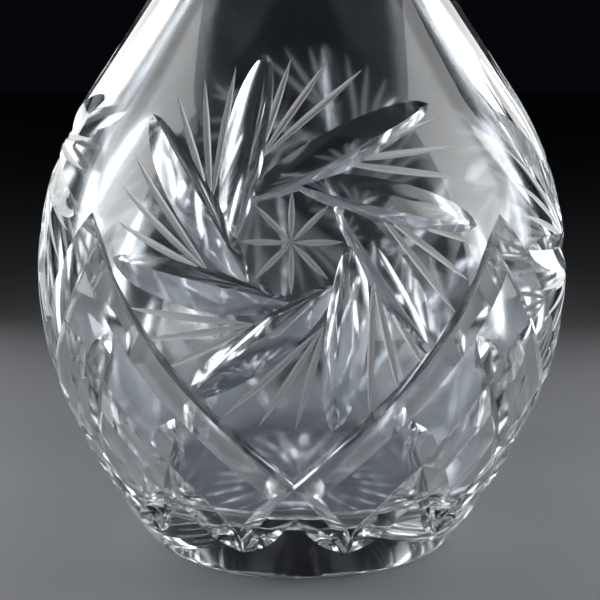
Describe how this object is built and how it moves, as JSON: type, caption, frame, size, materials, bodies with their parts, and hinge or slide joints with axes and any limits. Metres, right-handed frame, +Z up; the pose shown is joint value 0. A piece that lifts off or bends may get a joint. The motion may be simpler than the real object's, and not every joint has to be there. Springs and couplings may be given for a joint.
{
  "type": "wine decanter",
  "caption": "Pear-shaped cut-crystal wine decanter with pinwheel panels over a mitre-cut lattice, a long neck with a flared pouring lip, and a ground stopper with a faceted ball.",
  "frame": {"origin": "centre of the base, on the plane it stands on", "axes": "+Z up the axis of the bottle to the stopper, -Y towards the middle of one pinwheel panel"},
  "size_m": [0.12, 0.12, 0.2598],
  "materials": {
    "cut_crystal": "clear lead crystal, fire-polished and acid-polished cuts, fine cuts left grey"
  },
  "bodies": {
    "decanter": {"decanter_body": "cut_crystal"},
    "stopper": {"stopper": "cut_crystal"}
  },
  "joints": [
    {"name": "stopper_lift", "type": "slide", "parent": "decanter", "child": "stopper", "axis": [0, 0, 1], "range_m": [0, 0.045]}
  ]
}
